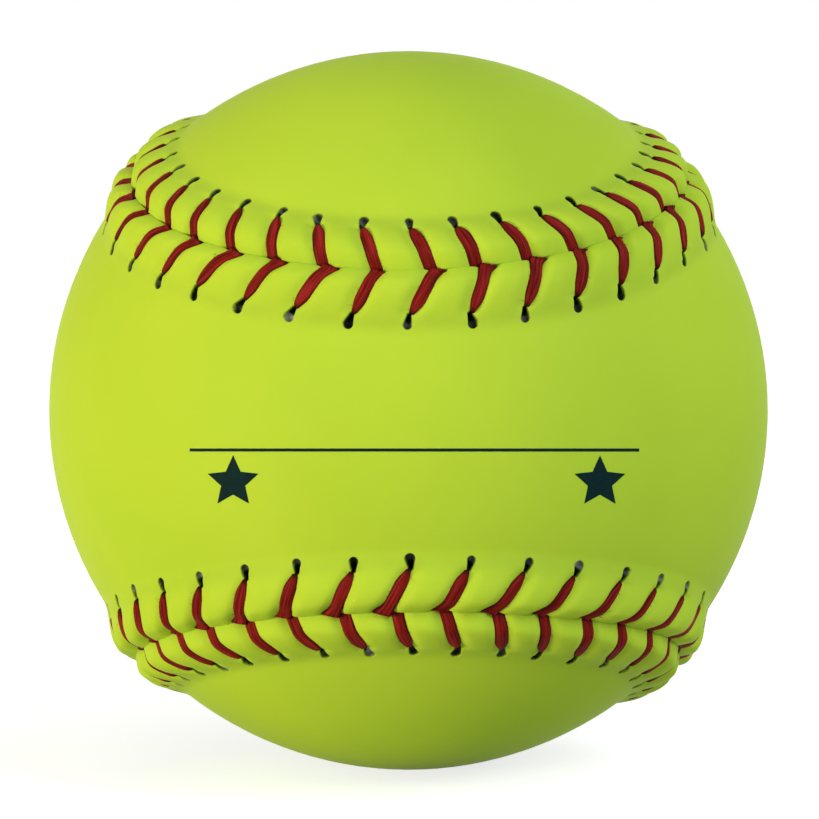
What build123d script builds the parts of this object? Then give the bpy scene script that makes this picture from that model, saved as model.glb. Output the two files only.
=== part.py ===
from build123d import *
from math import acos, atan2, cos, degrees, pi, sin, sqrt
import os

os.makedirs("parts", exist_ok=True)

# Softball, sizes in millimetres. The origin is the centre of the ball, +Z is up, and the waist of the
# front panel faces -Y. The seam is four equal circular arcs that meet tangentially.
circumference = 254.0
neck_width = 36.6
cover_thickness = 1.2
cement_thickness = 0.3

# The rolled edge of a panel: width from the seam to its foot, the leather left after skiving, the rise
# of its crest over the lip, the plain cover left beyond the holes, and the gap between the two lips.
ridge_width = 5.2
skived_thickness = 0.9
ridge_rise = 1.0
foot_band = 0.5
seam_gap = 0.3

# Stitching: stitches on one arc of the seam, the slot-like holes at the foot of the ridge, and the thread.
stitches_per_arc = 20
hole_length = 3.0
thread_diameter = 0.9
thread_clearance = 0.1

# How far ahead of its hole each thread leg enters the seam, as a share of the stitch pitch.
front_lead = 0.63
rear_lead = 0.37

# An even number on each arc, so that each thread ends where it began.
arc_stitches = 2 * round(stitches_per_arc / 2)

ball_radius = circumference / (2 * pi)
cement_radius = ball_radius - cover_thickness
core_radius = cement_radius - cement_thickness
centre = Vector(0, 0, 0)

# Half the neck as an angle, the angular radius of the arcs, and the tilt of their axes from -Y.
half_neck = neck_width / 2 / ball_radius
lobe = atan2(sqrt(2) - sin(half_neck), cos(half_neck))
tilt = half_neck + lobe
top = Vector(0, -cos(tilt), sin(tilt))
right = Vector(sin(tilt), cos(tilt), 0)
bottom = Vector(0, -cos(tilt), -sin(tilt))
left = Vector(-sin(tilt), cos(tilt), 0)

# The points where neighbouring arcs touch.
top_right = Vector(1, 0, 1).normalized()
bottom_right = Vector(1, 0, -1).normalized()
bottom_left = Vector(-1, 0, -1).normalized()
top_left = Vector(-1, 0, 1).normalized()


def square_to(axis, point):
    """The direction from an arc's axis towards a point, square to the axis."""
    return (point - axis * axis.dot(point)).normalized()


sweep_angle = 2 * (pi - acos(square_to(top, top_right).dot(square_to(top, Vector(0, 1, 0)))))

# The seam in the order it is sewn: axis, start of the arc, turning sense, side of the front panel.
arcs = [
    (top, top_left, 1, 1),
    (right, top_right, -1, -1),
    (bottom, bottom_right, 1, 1),
    (left, bottom_left, -1, -1),
]

# Heights over the plain cover. The lip leaves room below it for one thread on the cement.
thread_radius = thread_diameter / 2
thread_room = thread_diameter + 2 * thread_clearance
lip_bottom = thread_room - cover_thickness
lip_top = lip_bottom + skived_thickness
crest = lip_top + ridge_rise
crest_offset = 0.45 * ridge_width


def seam_point(stitch, across, height):
    """A point by stitches along the seam, millimetres towards the front panel, and height."""
    turn, along = divmod(stitch / arc_stitches, 1)
    axis, start, sense, side = arcs[int(turn) % 4]
    x = square_to(axis, start)
    y = axis.cross(x) * sense
    polar = lobe + side * across / ball_radius
    around = x * cos(along * sweep_angle) + y * sin(along * sweep_angle)
    return (axis * cos(polar) + around * sin(polar)) * (ball_radius + height)


def slot_plane(stitch, across, ahead, aside):
    """A workplane on the ball whose x runs from one seam point towards another."""
    origin = seam_point(stitch, across, 0)
    run = seam_point(stitch + ahead, across + aside, 0) - origin
    return Plane(origin=origin, x_dir=run, z_dir=origin)


def meridian(axis, start):
    """The plane through an arc's axis and its start, with the axis along local y."""
    x = square_to(axis, start)
    return Plane(origin=centre, x_dir=x, z_dir=x.cross(axis))


def at(side, across, height):
    """A point of a meridian plane by distance from the seam into the panel and height."""
    polar = lobe + side * across / ball_radius
    return ((ball_radius + height) * sin(polar), (ball_radius + height) * cos(polar))


# Distances from the seam that shape a rolled edge.
near = seam_gap / 2
far = 2 * crest_offset - near
inner_far = far - 0.25
inner_foot = far - 0.05
band = ridge_width + hole_length / 2 + foot_band
lobe_depth = lobe * ball_radius
pitch = sweep_angle * sin(lobe) * ball_radius / arc_stitches
notch_length = (front_lead - rear_lead) * pitch + thread_room

# The thread rises at the inner end of its hole, arches over the ridge and dives into the seam.
thread_offset = ridge_width - 0.9
thread_low = thread_clearance + thread_radius - cover_thickness
arch_radius = ((crest_offset - near) ** 2 + ridge_rise**2) / (2 * ridge_rise)
thread_arch = arch_radius + thread_radius + thread_clearance
thread_top = crest + thread_radius + thread_clearance
arch_centre = thread_top - thread_arch
over_hole = arch_centre + sqrt(thread_arch**2 - (thread_offset - crest_offset) ** 2) + thread_clearance
over_seam = arch_centre + sqrt(thread_arch**2 - crest_offset**2) + thread_clearance
bend = thread_radius + 0.15
arch_bend = 4 * thread_radius

# Core: a soft moulded ball.
with BuildPart() as core:
    Sphere(core_radius)
core.part.label = "core"
export_step(core.part, "parts/core.step")

# Cement coat: the film that holds the cover to the core.
with BuildPart() as cement_coat:
    Sphere(cement_radius)
    Sphere(core_radius, mode=Mode.SUBTRACT)
cement_coat.part.label = "cement_coat"
export_step(cement_coat.part, "parts/cement_coat.step")

# Right half of the front panel's waist, a shell between the axes of three arcs that ends at the feet of
# its rolled edges.
with BuildPart() as waist:
    Sphere(ball_radius, rotation=(0, 0, 90))
    Sphere(cement_radius, rotation=(0, 0, 90), mode=Mode.SUBTRACT)
    split(bisect_by=Plane.YZ, keep=Keep.TOP)
    for one, other in ((top, right), (right, bottom)):
        split(bisect_by=Plane(origin=centre, z_dir=one.cross(other)), keep=Keep.BOTTOM)
    for axis, start in ((top, top_left), (bottom, bottom_right)):
        with BuildSketch(meridian(axis, start)):
            with BuildLine():
                Polyline((0, 0), at(1, band, ball_radius), (0, at(1, band, ball_radius)[1]), close=True)
            make_face()
        revolve(axis=Axis(centre, axis), mode=Mode.SUBTRACT)

# Its two lobes, inside the feet of their edges.
with BuildPart() as lobes:
    for axis, start in ((right, bottom_right), (left, top_left)):
        with BuildSketch(meridian(axis, start)):
            with BuildLine():
                Line((0, cement_radius), (0, ball_radius))
                ThreePointArc((0, ball_radius), at(-1, lobe_depth / 2, 0), at(-1, band, 0))
                Line(at(-1, band, 0), at(-1, band, -cover_thickness))
                ThreePointArc(
                    at(-1, band, -cover_thickness),
                    at(-1, lobe_depth / 2, -cover_thickness),
                    (0, cement_radius),
                )
            make_face()
        revolve(axis=Axis(centre, axis), revolution_arc=degrees(sweep_angle))

# The skin of its rolled edges along the four arcs, thinner leather arched over a hollow.
other_half = mirror(waist.part, about=Plane.YZ, mode=Mode.PRIVATE)
smooth = waist.part.faces() + other_half.faces() + lobes.part.faces()
skin = smooth.filter_by(GeomType.SPHERE)
for axis, start, side in (
    (top, top_left, 1),
    (bottom, bottom_right, 1),
    (right, bottom_right, -1),
    (left, top_left, -1),
):
    with BuildPart() as rolled_edge:
        with BuildSketch(meridian(axis, start)):
            with BuildLine():
                ThreePointArc(at(side, near, lip_top), at(side, crest_offset, crest), at(side, far, lip_top))
                Line(at(side, far, lip_top), at(side, ridge_width, 0))
                ThreePointArc(
                    at(side, ridge_width, 0),
                    at(side, (ridge_width + band) / 2, 0),
                    at(side, band, 0),
                )
                Line(at(side, band, 0), at(side, band, -cover_thickness))
                ThreePointArc(
                    at(side, band, -cover_thickness),
                    at(side, ridge_width, -cover_thickness),
                    at(side, inner_foot, -cover_thickness),
                )
                Line(at(side, inner_foot, -cover_thickness), at(side, inner_far, lip_bottom))
                ThreePointArc(
                    at(side, inner_far, lip_bottom),
                    at(side, (near + inner_far) / 2, crest - skived_thickness),
                    at(side, near, lip_bottom),
                )
                Line(at(side, near, lip_bottom), at(side, near, lip_top))
            make_face()
        revolve(axis=Axis(centre, axis), revolution_arc=degrees(sweep_angle))
    for face in rolled_edge.part.faces():
        spot = face.position_at(0.5, 0.5)
        inside = abs(acos(axis.dot(spot.normalized())) - lobe - side * band / ball_radius) < 0.001
        if face.geom_type != GeomType.PLANE and not inside:
            skin.append(face)

# One panel with its stitch holes, slots at the foot of the ridge that point across the seam.
with BuildPart() as pierced_panel:
    add(Solid(Shell(skin)))
    holes = [slot_plane(i, ridge_width, 0, -hole_length) for i in range(4 * arc_stitches)]
    with BuildSketch(*holes):
        SlotOverall(hole_length, thread_room)
    extrude(amount=3 * cover_thickness, both=True, mode=Mode.SUBTRACT)

# Places of the notches in both lips, where two threads pass down the seam.
middle = (front_lead + rear_lead) / 2
notches = [slot_plane(i + middle, 0, 0.2, 0) for i in range(4 * arc_stitches)]

# Front panel: a figure of eight with its waist at the front and its lobes at the sides.
with BuildPart() as front_panel:
    add(pierced_panel.part)
    with BuildSketch(*notches):
        SlotOverall(notch_length, thread_room)
    extrude(amount=3 * cover_thickness, both=True, mode=Mode.SUBTRACT)
front_panel.part.label = "front_panel"
export_step(front_panel.part, "parts/front_panel.step")

# Rear panel: the same cut of leather, turned half a turn about the axis through two touching points.
with BuildPart() as rear_panel:
    add(pierced_panel.part.rotate(Axis(centre, top_right), 180))
    with BuildSketch(*notches):
        SlotOverall(notch_length, thread_room)
    extrude(amount=3 * cover_thickness, both=True, mode=Mode.SUBTRACT)
rear_panel.part.label = "rear_panel"
export_step(rear_panel.part, "parts/rear_panel.step")


def stitch_points(i, side):
    """The corners of one stitch: under the hole, over the ridge and down the seam."""
    lead = front_lead if side > 0 else rear_lead
    outer = crest_offset + 1.0
    inner = crest_offset - 1.0
    return [
        seam_point(i, side * thread_offset, thread_low),
        seam_point(i, side * thread_offset, over_hole),
        seam_point(i + lead * (1 - outer / thread_offset), side * outer, thread_top),
        seam_point(i + lead * (1 - inner / thread_offset), side * inner, thread_top),
        seam_point(i + lead, 0, over_seam),
        seam_point(i + lead, 0, thread_low),
    ]


def thread_run(arc, first):
    """The corners of a thread along one arc, from one hidden run to another. Its two ends stay apart."""
    sides = [first if i % 2 == 0 else -first for i in range(arc_stitches)]
    stitches = [stitch_points(arc * arc_stitches + i, side) for i, side in enumerate(sides)]
    before = stitch_points(arc * arc_stitches - 1, -first)
    after = stitch_points((arc + 1) * arc_stitches, -sides[-1])
    start = before[-1] + (stitches[0][0] - before[-1]) * (0.6 if arc == 0 else 0.5)
    end = stitches[-1][-1] + (after[0] - stitches[-1][-1]) * (0.4 if arc == 3 else 0.5)
    return [start] + [corner for stitch in stitches for corner in stitch] + [end]


bends = [bend, bend, arch_bend, arch_bend, bend, bend] * arc_stitches

# The two sewing threads. Each crosses to the other panel after every stitch, so they always part at the seam.
with BuildPart() as stitch_thread_a:
    with BuildLine() as route_a:
        for arc in range(4):
            FilletPolyline(*thread_run(arc, 1), radius=bends)
    with BuildSketch(Plane(origin=route_a.line @ 0, z_dir=route_a.line % 0)):
        Circle(thread_radius)
    sweep(path=route_a.line)
stitch_thread_a.part.label = "stitch_thread_a"
export_step(stitch_thread_a.part, "parts/stitch_thread_a.step")

with BuildPart() as stitch_thread_b:
    with BuildLine() as route_b:
        for arc in range(4):
            FilletPolyline(*thread_run(arc, -1), radius=bends)
    with BuildSketch(Plane(origin=route_b.line @ 0, z_dir=route_b.line % 0)):
        Circle(thread_radius)
    sweep(path=route_b.line)
stitch_thread_b.part.label = "stitch_thread_b"
export_step(stitch_thread_b.part, "parts/stitch_thread_b.step")
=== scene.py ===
"""Softball: two-piece optic yellow cover with a raised seam, sewn in red thread."""
import math

import bmesh
import bpy
import numpy as np
from mathutils import Matrix, Vector
from mathutils.geometry import delaunay_2d_cdt


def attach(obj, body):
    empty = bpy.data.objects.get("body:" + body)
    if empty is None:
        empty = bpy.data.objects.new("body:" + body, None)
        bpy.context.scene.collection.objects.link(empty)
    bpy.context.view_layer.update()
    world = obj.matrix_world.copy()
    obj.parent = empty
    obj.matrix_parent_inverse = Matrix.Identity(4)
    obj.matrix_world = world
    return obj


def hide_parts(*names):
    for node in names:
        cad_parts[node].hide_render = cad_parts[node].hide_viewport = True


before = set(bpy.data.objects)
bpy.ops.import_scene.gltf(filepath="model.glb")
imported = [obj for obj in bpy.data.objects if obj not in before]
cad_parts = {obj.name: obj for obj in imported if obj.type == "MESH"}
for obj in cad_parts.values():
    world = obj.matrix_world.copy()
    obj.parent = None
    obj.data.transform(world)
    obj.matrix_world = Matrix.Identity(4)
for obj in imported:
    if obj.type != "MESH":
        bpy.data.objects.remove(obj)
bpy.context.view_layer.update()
MM = 0.001
rng = np.random.default_rng(11)

# The seam: four equal arcs on the plain ball, in millimetres

CIRCUMFERENCE = 254.0
NECK = 36.6
R = CIRCUMFERENCE / (2 * math.pi)
HALF_NECK = NECK / 2 / R
LOBE = math.atan2(math.sqrt(2) - math.sin(HALF_NECK), math.cos(HALF_NECK))
TILT = HALF_NECK + LOBE
PER_ARC = 20
STITCHES = 4 * PER_ARC
AXES = np.array([
    [0, -math.cos(TILT), math.sin(TILT)],
    [math.sin(TILT), math.cos(TILT), 0],
    [0, -math.cos(TILT), -math.sin(TILT)],
    [-math.sin(TILT), math.cos(TILT), 0],
])
STARTS = np.array([[-1, 0, 1], [1, 0, 1], [1, 0, -1], [-1, 0, -1]]) / math.sqrt(2)
SENSE = np.array([1, -1, 1, -1])
FRONT = np.array([0, -1, 0])

# The four places where the seam passes the limbs: side, height, turn in degrees and reach in depth.
LIMBS = ((1, 1, 2.7, 0.66), (1, -1, 2.1, 0.66), (-1, 1, -0.3, 0.50), (-1, -1, 1.7, 0.50))
# The depth where the turn is greatest, and where and how fast it sets in, as shares of the radius.
LIMB_DEPTH = 0.10
LIMB_FROM = 0.05
LIMB_FADE = 0.45
LIMB_BLEND = 0.8


def unit(v):
    return v / np.linalg.norm(v, axis=-1, keepdims=True)


def smooth(x):
    """An even step from 0 to 1."""
    x = np.clip(x, 0, 1)
    return x * x * (3 - 2 * x)


def fade(x, start, span):
    """An even step from 0 at start to 1 a span further on."""
    return smooth((x - start) / span)


ARC_X = unit(STARTS - AXES * (STARTS * AXES).sum(1, keepdims=True))
ARC_Y = np.cross(AXES, ARC_X) * SENSE[:, None]
FOREMOST = unit(FRONT - AXES[0] * (FRONT @ AXES[0]))
SWEEP = 2 * math.acos(float(ARC_X[0] @ FOREMOST))
PITCH = SWEEP * math.sin(LOBE) * R / PER_ARC


def seam_dir(u, t):
    """Direction at u stitches along the seam and t millimetres towards the front panel."""
    q = np.asarray(u, float) / PER_ARC
    whole = np.floor(q)
    k = whole.astype(int) % 4
    turn = ((q - whole) * SWEEP)[..., None]
    polar = (LOBE + SENSE[k] * t / R)[..., None]
    around = ARC_X[k] * np.cos(turn) + ARC_Y[k] * np.sin(turn)
    return AXES[k] * np.cos(polar) + around * np.sin(polar)


def seam_distance(d):
    """Millimetres from the seam, positive on the front panel."""
    ang = np.arccos(np.clip(d @ AXES.T, -1, 1))
    front = np.minimum(ang[:, 0], ang[:, 2]) - LOBE
    back = LOBE - np.minimum(ang[:, 1], ang[:, 3])
    return np.where(d[:, 1] < 0, front, back) * R


def as_sewn(points):
    """Points of the ideal ball, turned a little about the front axis where its seam passes the limbs."""
    d = unit(points)
    turn = np.zeros(len(d))
    for side, height, degrees, reach in LIMBS:
        near = smooth(1 - np.abs(d[:, 1] - LIMB_DEPTH) / reach)
        near = near * fade(side * d[:, 0], LIMB_FROM, LIMB_FADE)
        near = near * smooth(0.5 + height * d[:, 2] / LIMB_BLEND)
        turn = turn + math.radians(degrees) * near
    x, y, z = points.T
    return np.stack([x * np.cos(turn) + z * np.sin(turn), y, z * np.cos(turn) - x * np.sin(turn)], 1)


# Relief of the cover, in millimetres from the seam and over the plain ball

CREST = 1.70
CREST_AT = 1.75
GROOVE = 0.84
FOOT_AT = 7.2
PUFF = 0.19
PUFF_AT = 2.3
LEG_TOP = 4.75
BED = 0.74
BED_PAST = 0.9
BED_FADE = 1.2
HOLE_FROM = 0.15
HOLE_LONG = 0.98
HOLE_RADIUS = 0.40
HOLE_WALL = 0.30
# A rim and its fade spread a hole's painted shade a little past its edge.
HOLE_RIM = 0.10
HOLE_RIM_FADE = 0.12
HOLE_DEPTH = 0.95

# The steepness of a bed's edge as a power, then shares of the hole's radius, lean and length.
BED_EDGE = 2.8
HOLE_LEAST = 0.85
HOLE_RANGE = 0.3
HOLE_NECK = 0.44
HOLE_FLARE = 0.60
HOLE_LEAN = 0.3
PALE_FADE = (0.45, 0.4)

# A leg's lead along the seam in pitches, its width in millimetres, and how much the stitches differ.
FRONT_LEAD = 0.50
REAR_LEAD = 0.36
LEAD_SPREAD = 0.035
HOLE_SHIFT = 0.10
HOLE_ALONG = 0.12
HOLE_TURN = 0.16
LEG_WIDTH = 1.42
LEG_WIDTH_SPREAD = 0.07
PALE_SHARES = (0.05, 0.12, 0.35, 0.9)
PALE_CHANCES = (0.2, 0.35, 0.3, 0.15)

# Every stitch differs a little: by side (0 front, 1 rear) and number.
BOTH_SIDES = (2, STITCHES)
lead = np.stack([mean + rng.normal(0, LEAD_SPREAD, STITCHES) for mean in (FRONT_LEAD, REAR_LEAD)])
hole_shift = rng.normal(0, HOLE_SHIFT, BOTH_SIDES)
hole_along = rng.normal(0, HOLE_ALONG, BOTH_SIDES)
leg_width = LEG_WIDTH * (1 + rng.normal(0, LEG_WIDTH_SPREAD, BOTH_SIDES))
hole_turn = rng.normal(0, HOLE_TURN, BOTH_SIDES)
pale_hole = rng.choice(PALE_SHARES, BOTH_SIDES, p=PALE_CHANCES)
leg_tone = rng.uniform(0, 1, BOTH_SIDES)
hole_size = HOLE_RADIUS * (HOLE_LEAST + HOLE_RANGE * leg_tone)


def ridge(t):
    """Height of the rolled edge over the plain cover at t millimetres from the seam."""
    x = np.clip(1 - t / CREST_AT, 0, 1)
    rise = 0.45 * smooth(1 - x) + 0.45 * (1 - x * x) + 0.10 * np.sqrt(1 - x * x)
    y = np.clip((t - CREST_AT) / (FOOT_AT - CREST_AT), 0, 1)
    inner = GROOVE + (CREST - GROOVE) * rise
    outer = CREST * 0.5 * (1 + np.cos(math.pi * y))
    return np.where(t < CREST_AT, inner, outer)


def bedding(w):
    """Share of the full bed that a leg presses, from its hole at 0 to the seam at 1."""
    return 0.45 + 0.25 * fade(w, 0.05, 0.3) + 0.30 * fade(w, 0.55, 0.4)


def segment_gap(a, t, a0, t0, a1, t1):
    """Distance from points to a segment, and the share of the way along it."""
    da, dt = a1 - a0, t1 - t0
    w = np.clip(((a - a0) * da + (t - t0) * dt) / (da * da + dt * dt), 0, 1)
    return np.hypot(a - a0 - w * da, t - t0 - w * dt), w


def relief(side, u, t, holes=True):
    """Height over the plain ball, the painted shade of the holes with their rims, and the pale at their far
    ends, at u stitches and t millimetres.
    """
    s = 0 if side > 0 else 1
    h = ridge(t)
    press = np.zeros_like(h)
    nearest = np.full_like(h, PITCH)
    hole = np.zeros_like(h)
    dark = np.zeros_like(h)
    pale = np.zeros_like(h)
    base = np.floor(u).astype(int)
    arc = (u // PER_ARC).astype(int) % 4
    stretch = np.sin(LOBE + SENSE[arc] * side * t / R) / math.sin(LOBE)
    for step in (-1, 0, 1):
        i = (base + step) % STITCHES
        a = (u - (base + step)) * PITCH * stretch
        end = lead[s, i] * PITCH
        start = hole_along[s, i]
        gap, w = segment_gap(a, t, start, LEG_TOP, end, 0.0)
        press = np.maximum(press, np.exp(-gap ** BED_EDGE) * bedding(w))
        nearest = np.minimum(nearest, gap)
        # The hole lies behind the leg's end, a drop that widens away from it.
        lean = np.arctan2(start - end, LEG_TOP) * HOLE_LEAN + hole_turn[s, i]
        near = LEG_TOP + HOLE_FROM + hole_shift[s, i]
        far_a = start + np.sin(lean) * HOLE_LONG
        far_t = near + np.cos(lean) * HOLE_LONG
        slot, along = segment_gap(a, t, start, near, far_a, far_t)
        inside = hole_size[s, i] * (HOLE_NECK + HOLE_FLARE * along) - slot
        deep = smooth(inside / HOLE_WALL + 0.5)
        hole = np.maximum(hole, deep)
        # The mask of painted shade: the hole and a thin rim round it, later coloured near-black.
        dark = np.maximum(dark, smooth((inside + HOLE_RIM) / HOLE_RIM_FADE + 0.5))
        pale = np.maximum(pale, deep * pale_hole[s, i] * fade(along, *PALE_FADE))
    # The cover swells between the legs and is pressed in under them.
    swell = PUFF * smooth(nearest / PUFF_AT) * np.clip(h / CREST, 0, 1)
    h = h + swell - BED * press * smooth((LEG_TOP + BED_PAST - t) / BED_FADE)
    if holes:
        h = h - HOLE_DEPTH * hole
    return h, dark, pale


# Cover panels

T_BAND = 8.0
EDGE_GAP = 0.006
LEG_SHARE = 0.14
HOLES_FROM = 4.5
HOLES_TO = 6.9
UNDER_DEPTH = 1.1

# The area that each evenly spread point takes, in spacings squared.
AREA_PER_POINT = 0.866

# How the fill is asked for: only faces inside the loop, and points closer than this are merged.
INSIDE_ONLY = 1
MERGE_WITHIN = 1e-10

# Rings, as millimetres from the seam and columns to a point, then the spacing and start of the rest.
OUTER_FILL = (((8.4, 2), (9.1, 4), (10.2, 8), (12.0, 8)), 1.8, 13.6)
UNDER_FILL = (((0.8, 2), (1.8, 4), (3.4, 8), (5.6, 16)), 3.0, 8.5)

# Painted shade in a mottled darker green: a band at the foot of the ridge, and the crease of the seam.
FOOT_PAINTED_SHADE = 0.22
FOOT_PAINTED_SHADE_AT = 5.6
FOOT_PAINTED_SHADE_WIDE = 0.9
SEAM_PAINTED_SHADE = 0.3
SEAM_PAINTED_SHADE_WIDE = 0.45

stitch_columns = np.concatenate([
    np.linspace(-LEG_SHARE, LEG_SHARE, 21)[:-1],
    np.linspace(LEG_SHARE, 1 - LEG_SHARE, 25)[:-1],
])
COLUMNS = np.sort((np.arange(STITCHES)[:, None] + stitch_columns[None, :]).ravel() % STITCHES)
ROWS = np.concatenate([
    EDGE_GAP + CREST_AT * (1 - np.cos(np.linspace(0, math.pi / 2, 13)))[:-1],
    np.linspace(CREST_AT, HOLES_FROM, 17)[:-1],
    np.linspace(HOLES_FROM, HOLES_TO, 31)[:-1],
    np.linspace(HOLES_TO, T_BAND, 5),
])


def fibonacci(spacing):
    """Directions spread evenly over the ball, about so many millimetres apart."""
    n = int(4 * math.pi * R * R / (spacing * spacing * AREA_PER_POINT))
    k = np.arange(n) + 0.5
    z = 1 - 2 * k / n
    a = k * math.pi * (3 - math.sqrt(5))
    r = np.sqrt(1 - z * z)
    return np.stack([r * np.cos(a), z, r * np.sin(a)], 1)


def fill(edge, side, rings, spacing, clear):
    """Triangles that fill a panel inside a loop of directions, with the extra directions they use."""
    dirs = [edge]
    for t, every in rings:
        dirs.append(seam_dir(COLUMNS[::every], side * np.full(len(COLUMNS[::every]), t)))
    spread = fibonacci(spacing)
    dirs.append(spread[side * seam_distance(spread) > clear])
    dirs = np.concatenate(dirs)
    pole = side * dirs[:, 1]
    flat = dirs[:, [0, 2]] / (1.0 - pole)[:, None]
    loop = list(range(len(edge)))
    found = delaunay_2d_cdt([Vector(p) for p in flat], [], [loop], INSIDE_ONLY, MERGE_WITHIN)
    if len(found[0]) != len(dirs):
        raise RuntimeError(f"panel fill made {len(found[0])} points from {len(dirs)}")
    order = [o[0] for o in found[3]]
    return dirs[len(edge):], [[order[v] for v in f] for f in found[2]]


def outward(points, faces, sign=1):
    """The faces turned so that they look away from the ball's centre, or towards it."""
    corner = points[np.array([f[:3] for f in faces])]
    turn = np.cross(corner[:, 1] - corner[:, 0], corner[:, 2] - corner[:, 0])
    good = (turn * corner[:, 0]).sum(1) * sign > 0
    return [f if g else f[::-1] for f, g in zip(faces, good)]


def mesh_object(name, points, faces, material, attributes=None):
    """A smooth mesh from points in millimetres, with colour attributes on its points."""
    mesh = bpy.data.meshes.new(name)
    mesh.from_pydata([tuple(p) for p in as_sewn(np.asarray(points)) * MM], [], faces)
    for key, values in (attributes or {}).items():
        layer = mesh.color_attributes.new(key, "FLOAT_COLOR", "POINT")
        layer.data.foreach_set("color", np.asarray(values, np.float32).ravel())
    mesh.polygons.foreach_set("use_smooth", np.ones(len(mesh.polygons), bool))
    mesh.materials.append(material)
    mesh.validate()
    obj = bpy.data.objects.new(name, mesh)
    bpy.context.scene.collection.objects.link(obj)
    return obj


def turn_faces_out(obj):
    """Make the faces of closed shells look outwards."""
    bm = bmesh.new()
    bm.from_mesh(obj.data)
    bmesh.ops.recalc_face_normals(bm, faces=bm.faces)
    bm.to_mesh(obj.data)
    bm.free()


def grid_faces(rows, columns, first=0, loop=True):
    """Four-sided faces between rows of points, closed round each row if it is a loop."""
    j, i = np.mgrid[0:rows - 1, 0:columns if loop else columns - 1]
    n = (i + 1) % columns
    below, above = first + j * columns, first + (j + 1) * columns
    return np.stack([below + i, below + n, above + n, above + i], -1).reshape(-1, 4).tolist()


def build_panel(name, side, material):
    """One panel of the cover: a fine band along the seam, the smooth middle, the back and the cut edge."""
    m, n = len(COLUMNS), len(ROWS)
    u = np.tile(COLUMNS, n)
    t = np.repeat(ROWS, m)
    h, dark, pale = relief(side, u, t)
    band = seam_dir(u, side * t) * (R + h)[:, None]
    # Painted shade in the crease and at the ridge's foot, carried in the green of the shade attribute.
    foot = np.exp(-((t - FOOT_PAINTED_SHADE_AT) / FOOT_PAINTED_SHADE_WIDE) ** 2) * FOOT_PAINTED_SHADE
    painted_shade = foot + SEAM_PAINTED_SHADE * np.exp(-(t / SEAM_PAINTED_SHADE_WIDE) ** 2)
    shade = np.stack([dark, painted_shade, pale, np.ones_like(t)], 1)
    # The smooth middle of the panel.
    more, tris = fill(unit(band[-m:]), side, *OUTER_FILL)
    last = (n - 1) * m
    plain = np.tile([0, 0, 0, 1.0], (len(more), 1))
    outer_faces = grid_faces(n, m) + [
        [last + v if v < m else n * m + v - m for v in f] for f in tris]
    # The back of the panel, and the cut edge that stands in the seam.
    back = seam_dir(COLUMNS, side * np.full(m, ROWS[0]))
    inner_more, inner_tris = fill(back, side, *UNDER_FILL)
    start = n * m + len(more)
    under = np.concatenate([back, inner_more]) * (R - UNDER_DEPTH)
    points = np.concatenate([band, more * R, under])
    inner_faces = [[start + v for v in f] for f in inner_tris]
    rim = [[i, start + i, start + (i + 1) % m, (i + 1) % m] for i in range(m)]
    faces = outward(points, outer_faces) + outward(points, inner_faces, -1)
    # The rim follows the turn of the faces it meets.
    first = faces[0]
    forward = any(first[k] == 0 and first[(k + 1) % 4] == 1 for k in range(4))
    faces += [f if forward else f[::-1] for f in rim]
    # The back and the cut edge take full painted shade, so the cut edge darkens down into the seam.
    rest = np.tile([0, 1.0, 0, 1.0], (len(under), 1))
    shade = np.concatenate([shade, plain, rest])
    return mesh_object(name, points, faces, material, {"shade": shade})


# Thread: the share of the way along a leg runs from its hole at 0 to the seam at 1

STATIONS = np.array([
    0, 0.03, 0.06, 0.09, 0.12, 0.17, 0.23, 0.31, 0.40, 0.49, 0.58,
    0.67, 0.75, 0.81, 0.86, 0.90, 0.93, 0.96, 0.98, 1.0])
TOP_POINTS = 21
LOW_POINTS = 7
SECTION_RISE = 0.27
SECTION_DROP = 0.30
SECTION_ROUND = 0.75
RIB_DEPTH = 0.11
RIB_COUNT = 3.5

LEG_IN_HOLE = 0.35
FRONT_PAST_SEAM = 0.52
REAR_PAST_SEAM = 0.20
LEG_SWING = 0.35
LEG_BOW = 0.30
LEG_LIFT = 0.08
HOLE_DIP = 1.3
HOLE_DIP_TO = 0.08
HOLE_NARROW = 0.34
WIDE_AT = 0.32
HOLE_THIN = 0.7
THICK_AT = 0.2
OVER_FROM = 1.5
OVER_SPAN = 1.6
FRONT_LIFT = 0.14
FRONT_DIP = 0.9
REAR_DIP = 0.60
CORNER_REACH = 0.42
END_SLANT = 0.28
LEAST_SHARE = 0.55
ALONG_STEP = 0.02
ACROSS_STEP = 0.05

# Where along a leg these set in, and over how much of it.
LIFT_FADE = (0.6, 0.3)
DIP_FADE = (0.93, 0.07)
SPREAD_FADE = (0.62, 0.32)
CORNER_FADE = (0.80, 0.16)
SLANT_FADE = (0.72, 0.26)

# Loose hairs: how many a leg has, the stations left clear at its ends, then how the hairs differ.
HAIRS_PER_LEG = (7, 13)
HAIR_CLEAR = 3
HAIR_EDGE = (0.75, 0.95)
HAIR_SPLAY = (0.4, 1.0)
HAIR_STRAY = 0.9
HAIR_LENGTH = (0.25, 0.8)
HAIR_TONE = (0.3, 0.7)
HAIR_RINGS = 4
HAIR_SIDES = 3
HAIR_RADIUS = 0.016
HAIR_TAPER = 0.8
HAIR_RISE = 0.35
HAIR_CURL = 0.35
HAIR_ROOT = 0.12


def leg_section():
    """The thread's cross-section: a flat bundle, rounded on top."""
    top = np.linspace(0, math.pi, TOP_POINTS)
    low = np.linspace(math.pi, 2 * math.pi, LOW_POINTS + 2)[1:-1]
    x = np.concatenate([np.cos(top), np.cos(low)])
    z = np.concatenate([SECTION_RISE * np.sin(top) ** SECTION_ROUND, SECTION_DROP * np.sin(low)])
    return x, z


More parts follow.
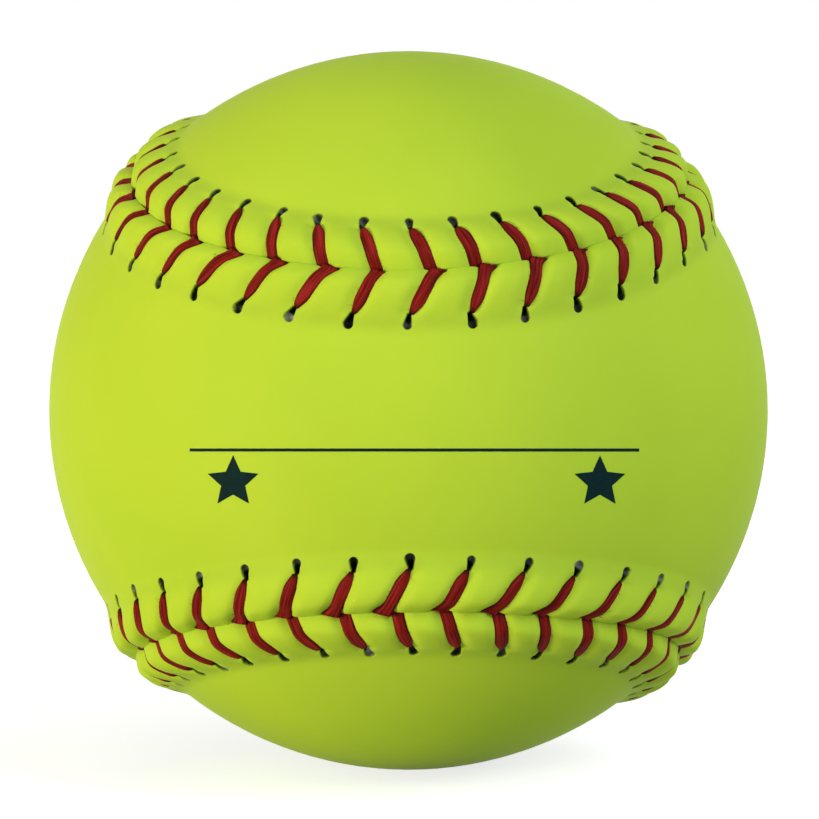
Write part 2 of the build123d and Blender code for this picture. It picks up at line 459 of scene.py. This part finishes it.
def leg(side, i):
    """One visible leg of thread: points, faces and fibre places, then what its loose hairs grow from."""
    front = side > 0
    s = 0 if front else 1
    w = STATIONS
    n = len(w)
    end = lead[s, i] * PITCH
    start = hole_along[s, i]
    past = FRONT_PAST_SEAM if front else REAR_PAST_SEAM
    t = (LEG_TOP + LEG_IN_HOLE + hole_shift[s, i]) * (1 - w) - past * w
    swing = (1 - LEG_SWING) * w + LEG_SWING * w * w
    a = start + (end - start) * swing + LEG_BOW * np.sin(math.pi * w)
    u = (i + a / PITCH) % STITCHES
    h = relief(side, u, np.abs(t), holes=False)[0]
    lift = LEG_LIFT - HOLE_DIP * smooth((HOLE_DIP_TO - w) / HOLE_DIP_TO)
    dip = fade(w, *DIP_FADE)
    if front:
        # Its end lies over the other panel's edge.
        other = relief(-side, u, np.abs(t), holes=False)[0]
        h = h + smooth((OVER_FROM - t) / OVER_SPAN) * np.clip(other - h, 0, None)
        lift = lift + FRONT_LIFT * fade(w, *LIFT_FADE) - FRONT_DIP * dip ** 2
    else:
        lift = lift - REAR_DIP * dip
    out = seam_dir(u, side * t)
    centre = out * (R + h + lift)[:, None]
    ahead = np.gradient(centre, axis=0)
    ahead = unit(ahead - out * (ahead * out).sum(1, keepdims=True))
    along_seam = unit(seam_dir(u + ALONG_STEP, side * t) - seam_dir(u - ALONG_STEP, side * t))
    across = unit(np.cross(out, ahead))
    across = across * np.sign((across * along_seam).sum(1, keepdims=True))
    # Towards the seam the bundle spreads along it.
    blend = fade(w, *SPREAD_FADE)[:, None]
    share = np.abs((across * along_seam).sum(1, keepdims=True))
    across = across * (1 - blend) + along_seam / np.maximum(share, LEAST_SHARE) * blend
    half = leg_width[s, i] / 2 * (HOLE_NARROW + (1 - HOLE_NARROW) * smooth(w / WIDE_AT))
    x, z = leg_section()
    reach = np.ones((n, len(x)))
    if front:
        # The forward corner is drawn out along the seam.
        reach = reach + CORNER_REACH * fade(w, *CORNER_FADE)[:, None] * np.clip(x, 0, 1)[None, :]
    ribs = 1 + RIB_DEPTH * np.cos(x * math.pi * RIB_COUNT + rng.uniform(0, 6))
    depth = (HOLE_THIN + (1 - HOLE_THIN) * smooth(w / THICK_AT))[:, None]
    sideways = half[:, None] * x[None, :] * reach
    upward = depth * (z * np.where(z > 0, ribs, 1))[None, :]
    points = (centre[:, None, :] + across[:, None, :] * sideways[..., None]
              + out[:, None, :] * upward[..., None])
    if front:
        # The end is cut aslant, with the forward corner on the seam.
        own = unit(seam_dir(u, side * (t + ACROSS_STEP)) - seam_dir(u, side * (t - ACROSS_STEP)))
        slant = END_SLANT * fade(w, *SLANT_FADE)[:, None] * (x + 1)[None, :]
        points = points + own[:, None, :] * slant[..., None]
    ring = len(x)
    faces = grid_faces(n, ring)
    faces.append(list(range(ring)))
    faces.append(list(range((n - 1) * ring, n * ring)))
    fibre = np.stack(np.broadcast_arrays((x[None, :] + 1) / 2, w[:, None], leg_tone[s, i]), -1)
    return points.reshape(-1, 3), faces, fibre.reshape(-1, 3), out, across, centre, half


def hair(root, way, up, length):
    """A single loose fibre, a thin bent three-sided strand."""
    side = np.cross(way, up)
    curl = rng.normal(0, HAIR_CURL)
    points = []
    for k in range(HAIR_RINGS):
        f = k / (HAIR_RINGS - 1)
        mid = root + way * (length * f) + up * (length * HAIR_RISE * f * f) + side * (curl * length * f * f)
        r = HAIR_RADIUS * (1 - HAIR_TAPER * f)
        for q in range(HAIR_SIDES):
            turn = q * 2 * math.pi / HAIR_SIDES
            points.append(mid + (up * math.cos(turn) + side * math.sin(turn)) * r)
    faces = grid_faces(HAIR_RINGS, HAIR_SIDES)
    faces.append(list(range(HAIR_SIDES))[::-1])
    faces.append(list(range(len(points) - HAIR_SIDES, len(points))))
    return points, faces


def build_thread(name, first, material):
    """The visible legs of one thread, which takes the two panels by turns, and its loose hairs."""
    points, faces, fibres = [], [], []
    count = 0
    for i in range(STITCHES):
        side = first if i % 2 == 0 else -first
        p, f, uv, out, across, centre, half = leg(side, i)
        points.append(p)
        faces += [[count + v for v in q] for q in f]
        fibres.append(uv)
        count += len(p)
        for _ in range(rng.integers(*HAIRS_PER_LEG)):
            k = rng.integers(HAIR_CLEAR, len(STATIONS) - HAIR_CLEAR)
            hand = rng.choice([-1, 1])
            edge = across[k] * half[k] * hand * rng.uniform(*HAIR_EDGE)
            aside = across[k] * hand * rng.uniform(*HAIR_SPLAY)
            onward = unit(centre[k + 1] - centre[k]) * rng.normal(0, HAIR_STRAY)
            root = centre[k] + edge + out[k] * HAIR_ROOT
            hp, hf = hair(root, unit(aside + onward), out[k], rng.uniform(*HAIR_LENGTH))
            points.append(np.array(hp))
            faces += [[count + v for v in q] for q in hf]
            fibres.append(np.tile([rng.uniform(*HAIR_TONE), 0.5, 0.5], (len(hp), 1)))
            count += len(hp)
    fibres = np.concatenate(fibres)
    colour = np.concatenate([fibres, np.ones((len(fibres), 1))], 1)
    obj = mesh_object(name, np.concatenate(points), faces, material, {"fibre": colour})
    turn_faces_out(obj)
    return obj


# Materials


def new_material(name):
    """A node material, with its nodes, links and main shader."""
    mat = bpy.data.materials.new(name)
    mat.use_nodes = True
    nodes = mat.node_tree.nodes
    return mat, nodes, mat.node_tree.links, nodes["Principled BSDF"]


def ramp(nodes, stops):
    """A colour ramp through the given stops."""
    node = nodes.new("ShaderNodeValToRGB")
    while len(node.color_ramp.elements) < len(stops):
        node.color_ramp.elements.new(0.5)
    for element, (at, colour) in zip(node.color_ramp.elements, stops):
        element.position = at
        element.color = (*colour, 1)
    return node


def mix(nodes, links, factor, a, b, blend="MIX"):
    """A mix of two colours, each of them a colour or a socket, and the factor a number or a socket."""
    node = nodes.new("ShaderNodeMix")
    node.data_type = "RGBA"
    node.blend_type = blend
    for socket, value in ((0, factor), (6, a), (7, b)):
        if isinstance(value, (int, float)):
            node.inputs[socket].default_value = value
        elif isinstance(value, tuple):
            node.inputs[socket].default_value = (*value, 1)
        else:
            links.new(value, node.inputs[socket])
    return node.outputs[2]


def noise(nodes, links, coords, scale, detail=3.0, roughness=0.5):
    """Noise from 0 to 1 over the given coordinates."""
    node = nodes.new("ShaderNodeTexNoise")
    node.inputs["Scale"].default_value = scale
    node.inputs["Detail"].default_value = detail
    node.inputs["Roughness"].default_value = roughness
    links.new(coords, node.inputs["Vector"])
    return node.outputs["Fac"]


def split_attribute(nodes, links, name):
    """A colour attribute of the mesh, and its three channels."""
    attribute = nodes.new("ShaderNodeAttribute")
    attribute.attribute_name = name
    split = nodes.new("ShaderNodeSeparateColor")
    links.new(attribute.outputs["Color"], split.inputs["Color"])
    return attribute, split.outputs


def add_bump(nodes, links, shader, height, strength, distance):
    """Let a height, at most so many metres, bend the shader's normals."""
    bump = nodes.new("ShaderNodeBump")
    bump.inputs["Strength"].default_value = strength
    bump.inputs["Distance"].default_value = distance
    links.new(height, bump.inputs["Height"])
    links.new(bump.outputs["Normal"], shader.inputs["Normal"])


def cover_material():
    """Optic yellow cover with a fine grain, mottled painted shade in the seam and at the ridge's foot, and
    holes painted near-black as shade with pale grey at the far end of some.
    """
    mat, nodes, links, shader = new_material("optic_cover")
    coords = nodes.new("ShaderNodeTexCoord").outputs["Object"]
    channels = split_attribute(nodes, links, "shade")[1]
    tone = ramp(nodes, [(0.3, (0.51, 0.725, 0.0425)), (0.7, (0.55, 0.755, 0.047))])
    links.new(noise(nodes, links, coords, 60, 4.0), tone.inputs["Fac"])
    # The green of the shade attribute, mottled by noise, mixes in a darker green: painted shade in the seam
    # and at the ridge's foot.
    painted_shade = nodes.new("ShaderNodeMath")
    painted_shade.operation = "MULTIPLY"
    links.new(channels["Green"], painted_shade.inputs[0])
    links.new(noise(nodes, links, coords, 350, 3.0), painted_shade.inputs[1])
    colour = mix(nodes, links, painted_shade.outputs[0], tone.outputs["Color"], (0.18, 0.32, 0.045))
    # Holes are painted near-black as shade; some have pale grey at their far end.
    dark = mix(nodes, links, channels["Blue"], (0.004, 0.010, 0.003), (0.72, 0.74, 0.68))
    colour = mix(nodes, links, channels["Red"], colour, dark)
    links.new(colour, shader.inputs["Base Color"])
    shader.inputs["Roughness"].default_value = 0.5
    shader.inputs["Specular IOR Level"].default_value = 0.02
    grain = nodes.new("ShaderNodeTexVoronoi")
    grain.inputs["Scale"].default_value = 1500
    links.new(coords, grain.inputs["Vector"])
    height = nodes.new("ShaderNodeMath")
    height.operation = "MULTIPLY_ADD"
    links.new(grain.outputs["Distance"], height.inputs[0])
    height.inputs[1].default_value = 0.35
    links.new(noise(nodes, links, coords, 700, 5.0, 0.6), height.inputs[2])
    add_bump(nodes, links, shader, height.outputs[0], 0.10, 0.00012)
    return mat


def thread_material():
    """Waxed red thread, streaked along its filaments, with painted shade along its edges and at its ends
    where it goes into the hole and the seam.
    """
    mat, nodes, links, shader = new_material("waxed_thread")
    attribute, channels = split_attribute(nodes, links, "fibre")
    mapping = nodes.new("ShaderNodeMapping")
    mapping.inputs["Scale"].default_value = (7.0, 1.3, 40.0)
    links.new(attribute.outputs["Vector"], mapping.inputs["Vector"])
    streak = noise(nodes, links, mapping.outputs["Vector"], 1.0, 3.0, 0.6)
    tone = ramp(nodes, [
        (0.34, (0.085, 0.003, 0.002)), (0.46, (0.180, 0.008, 0.005)),
        (0.55, (0.255, 0.012, 0.009)), (0.68, (0.385, 0.022, 0.020))])
    links.new(streak, tone.inputs["Fac"])
    # Painted shade along both side edges of a leg, where it beds into the cover.
    edge = ramp(nodes, [
        (0.0, (0.30, 0.30, 0.30)), (0.16, (1, 1, 1)), (0.84, (1, 1, 1)), (1.0, (0.30, 0.30, 0.30))])
    links.new(channels["Red"], edge.inputs["Fac"])
    # Painted shade at a leg's ends: near-black where it goes into its hole, darker where it dips into the
    # seam.
    ends = ramp(nodes, [
        (0.05, (0.03, 0.03, 0.03)), (0.14, (1, 1, 1)), (0.90, (1, 1, 1)), (1.0, (0.25, 0.25, 0.25))])
    links.new(channels["Green"], ends.inputs["Fac"])
    colour = mix(nodes, links, 1.0, tone.outputs["Color"], edge.outputs["Color"], "MULTIPLY")
    colour = mix(nodes, links, 1.0, colour, ends.outputs["Color"], "MULTIPLY")
    links.new(colour, shader.inputs["Base Color"])
    shader.inputs["Roughness"].default_value = 0.6
    shader.inputs["Specular IOR Level"].default_value = 0.06
    add_bump(nodes, links, shader, streak, 0.5, 0.00012)
    return mat


def plain_material(name, dark, light, scale, roughness, specular=0.4):
    """A material of two near tones, mottled at one scale."""
    mat, nodes, links, shader = new_material(name)
    coords = nodes.new("ShaderNodeTexCoord").outputs["Object"]
    grain = noise(nodes, links, coords, scale, 4.0)
    tone = ramp(nodes, [(0.3, dark), (0.7, light)])
    links.new(grain, tone.inputs["Fac"])
    links.new(tone.outputs["Color"], shader.inputs["Base Color"])
    shader.inputs["Roughness"].default_value = roughness
    shader.inputs["Specular IOR Level"].default_value = specular
    add_bump(nodes, links, shader, grain, 0.2, 0.0001)
    return mat


cover = cover_material()
thread = thread_material()
ink = plain_material("printing_ink", (0.0008, 0.013, 0.013), (0.0014, 0.021, 0.020), 1500, 0.7, 0.08)
sponge = plain_material("sponge", (0.50, 0.46, 0.38), (0.62, 0.57, 0.47), 500, 0.9)
cement = plain_material("dried_cement", (0.30, 0.22, 0.10), (0.42, 0.32, 0.16), 300, 0.5)

# Camera, as fitted to the photograph: pixels of a square frame, distance in radii of the ball

FRAME = 819
BALL_PX = 359.4
BALL_AT = (408.0, 409.9)
DISTANCE = 13.0
TURN = Vector((0.0876, -0.0080, 0.0048))
SENSOR = 36.0

pose = Matrix.Rotation(TURN.length, 3, TURN.normalized()).inverted()
focal_px = BALL_PX * math.sqrt(DISTANCE * DISTANCE - 1)
camera_data = bpy.data.cameras.new("camera")
camera_data.sensor_width = SENSOR
camera_data.lens = focal_px / FRAME * SENSOR
camera_data.shift_x = ((FRAME - 1) / 2 - BALL_AT[0]) / FRAME
camera_data.shift_y = (BALL_AT[1] - (FRAME - 1) / 2) / FRAME
camera = bpy.data.objects.new("camera", camera_data)
eye = pose @ Vector((0, -DISTANCE * R * MM, 0))
facing = pose @ Matrix.Rotation(math.pi / 2, 3, "X")
camera.matrix_world = Matrix.Translation(eye) @ facing.to_4x4()
bpy.context.scene.collection.objects.link(camera)
bpy.context.scene.camera = camera


def on_ball(px, py):
    """The direction of the plain ball's surface seen at a pixel of the frame."""
    ray = np.stack([(px - BALL_AT[0]) / focal_px, np.ones_like(px), -(py - BALL_AT[1]) / focal_px], -1)
    ray = unit(ray) @ np.array(pose).T
    o = np.array(eye) / MM / R
    b = ray @ o
    k = -b - np.sqrt(b * b - (o @ o - 1))
    return unit(o + k[..., None] * ray)


# Print on the waist, placed by pixels of the frame

RULE = (189.3, 638.6, 447.95, 451.0)
RULE_COLUMNS = 161
STARS = ((232.65, 481.4), (599.45, 481.5))
STAR_OUTER = 26.6
STAR_INNER = 12.6
STAR_RINGS = 8
STAR_SIDE = 6
INK_RISE = 0.025
INK_SUNK = 0.05


def ink_film(px, py, top, loop):
    """A film of ink over points of the frame, closed below, with its rim sunk into the cover."""
    d = on_ball(px, py)
    n = len(d)
    low = [[n + v for v in f] for f in top]
    rim = [[a, b, n + b, n + a] for a, b in zip(loop, loop[1:] + loop[:1])]
    return np.concatenate([d * (R + INK_RISE), d * (R - INK_SUNK)]), top + low + rim


def rule_film(x0, x1, y0, y1):
    """A plain rule, three rows of points deep."""
    n = RULE_COLUMNS
    px, py = np.meshgrid(np.linspace(x0, x1, n), np.linspace(y0, y1, 3))
    first_row = list(range(n))
    last_row = list(range(2 * n, 3 * n))
    loop = first_row + [2 * n - 1] + last_row[::-1] + [n]
    return ink_film(px.ravel(), py.ravel(), grid_faces(3, n, 0, loop=False), loop)


def star_film(cx, cy):
    """A five-pointed star, as rings round its middle."""
    corner = []
    for k in range(10):
        r = STAR_OUTER if k % 2 == 0 else STAR_INNER
        a = -math.pi / 2 + k * math.pi / 5
        corner.append((r * math.cos(a), r * math.sin(a)))
    corner = np.array(corner)
    step = np.arange(STAR_SIDE)[None, :, None] / STAR_SIDE
    outline = (corner[:, None] * (1 - step) + np.roll(corner, -1, 0)[:, None] * step).reshape(-1, 2)
    n = len(outline)
    scale = np.arange(1, STAR_RINGS + 1) / STAR_RINGS
    spots = np.concatenate([[[0, 0]], (scale[:, None, None] * outline[None]).reshape(-1, 2)]) + (cx, cy)
    top = [[0, 1 + i, 1 + (i + 1) % n] for i in range(n)] + grid_faces(STAR_RINGS, n, 1)
    return ink_film(spots[:, 0], spots[:, 1], top, [1 + (STAR_RINGS - 1) * n + i for i in range(n)])


def build_print(material):
    """The rule and the two stars, as one piece."""
    points, faces = [], []
    count = 0
    for p, f in (rule_film(*RULE), star_film(*STARS[0]), star_film(*STARS[1])):
        points.append(p)
        faces += [[count + v for v in q] for q in f]
        count += len(p)
    obj = mesh_object("waist_print", np.concatenate(points), faces, material)
    turn_faces_out(obj)
    obj.data.polygons.foreach_set("use_smooth", np.zeros(len(obj.data.polygons), bool))
    return obj


# Pieces

for node, name, side in (("front_panel", "front_cover", 1), ("rear_panel", "rear_cover", -1)):
    piece = build_panel(name, side, cover)
    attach(piece, "root")
    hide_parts(node)
for node, name, first in (("stitch_thread_a", "thread_a", 1), ("stitch_thread_b", "thread_b", -1)):
    piece = build_thread(name, first, thread)
    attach(piece, "root")
    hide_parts(node)
printed = build_print(ink)
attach(printed, "root")
for node, material in (("core", sponge), ("cement_coat", cement)):
    obj = bpy.data.objects.get(node)
    if obj:
        for slot in obj.material_slots:
            slot.material = material

# Floor and light: metres from the ball's centre

FLOOR_HALF = 3.0
FLOOR_Z = -R * MM
FLOOR_COLOUR = (0.58, 0.58, 0.58, 1)
# The floor's seen glow is lower near the ball: a painted shadow round its contact that is gone by the
# second distance.
GLOW_IN_PAINTED_SHADOW = (0.0405, 0.76)
GLOW_PAST_PAINTED_SHADOW = (0.08, 0.90)
WORLD_LIGHTING = 0.22
WORLD_SEEN = 1.0


def seen_strength(nodes, links, socket, lighting, seen):
    """A strength for rays that light the ball, and one for rays that see, mirror or pass through to it."""
    path = nodes.new("ShaderNodeLightPath")
    total = path.outputs["Is Camera Ray"]
    for ray in ("Is Glossy Ray", "Is Transmission Ray"):
        add = nodes.new("ShaderNodeMath")
        add.operation = "ADD"
        links.new(total, add.inputs[0])
        links.new(path.outputs[ray], add.inputs[1])
        total = add.outputs[0]
    strength = nodes.new("ShaderNodeMapRange")
    strength.inputs["To Min"].default_value = lighting
    if isinstance(seen, float):
        strength.inputs["To Max"].default_value = seen
    else:
        links.new(seen, strength.inputs["To Max"])
    links.new(total, strength.inputs["Value"])
    links.new(strength.outputs["Result"], socket)


def floor_material():
    """A pale floor whose seen glow is lower near the ball: a painted shadow over its real shadow, fading to
    white away from it.
    """
    mat, nodes, links, shader = new_material("floor")
    shader.inputs["Base Color"].default_value = FLOOR_COLOUR
    shader.inputs["Roughness"].default_value = 0.9
    shader.inputs["Specular IOR Level"].default_value = 0.0
    shader.inputs["Emission Color"].default_value = (1, 1, 1, 1)
    distance = nodes.new("ShaderNodeVectorMath")
    distance.operation = "LENGTH"
    links.new(nodes.new("ShaderNodeTexCoord").outputs["Object"], distance.inputs[0])
    # The glow rises with distance from the ball's centre and is lower near it as painted shadow.
    glow = nodes.new("ShaderNodeMapRange")
    for end, (at, strength) in (("Min", GLOW_IN_PAINTED_SHADOW), ("Max", GLOW_PAST_PAINTED_SHADOW)):
        glow.inputs["From " + end].default_value = at
        glow.inputs["To " + end].default_value = strength
    links.new(distance.outputs["Value"], glow.inputs["Value"])
    seen_strength(nodes, links, shader.inputs["Emission Strength"], 0.0, glow.outputs["Result"])
    return mat


def area_light(name, place, size, power, colour):
    """A rectangular lamp that faces the ball."""
    data = bpy.data.lights.new(name, "AREA")
    data.shape = "RECTANGLE"
    data.size, data.size_y = size
    data.energy = power
    data.color = colour
    lamp = bpy.data.objects.new(name, data)
    lamp.location = place
    lamp.rotation_euler = (-Vector(place)).to_track_quat("-Z", "Y").to_euler()
    bpy.context.scene.collection.objects.link(lamp)


CORNERS = ((-1, -1), (1, -1), (1, 1), (-1, 1))
floor_corners = [(x * FLOOR_HALF, y * FLOOR_HALF, FLOOR_Z) for x, y in CORNERS]
floor_mesh = bpy.data.meshes.new("floor")
floor_mesh.from_pydata(floor_corners, [], [(0, 1, 2, 3)])
floor_mesh.materials.append(floor_material())
floor = bpy.data.objects.new("floor", floor_mesh)
bpy.context.scene.collection.objects.link(floor)

world = bpy.data.worlds.new("world")
bpy.context.scene.world = world
world.use_nodes = True
background = world.node_tree.nodes["Background"]
background.inputs["Color"].default_value = (1, 1, 1, 1)
seen_strength(
    world.node_tree.nodes, world.node_tree.links, background.inputs["Strength"], WORLD_LIGHTING, WORLD_SEEN)

area_light("key", place=(-0.764, -0.483, 0.02), size=(0.40, 0.10), power=6.15, colour=(1.0, 0.87, 0.62))
area_light("fill", place=(0.60, -0.50, 0.58), size=(0.6, 0.6), power=5.4, colour=(0.91, 1.0, 1.15))

bpy.context.scene.view_settings.view_transform = "Standard"
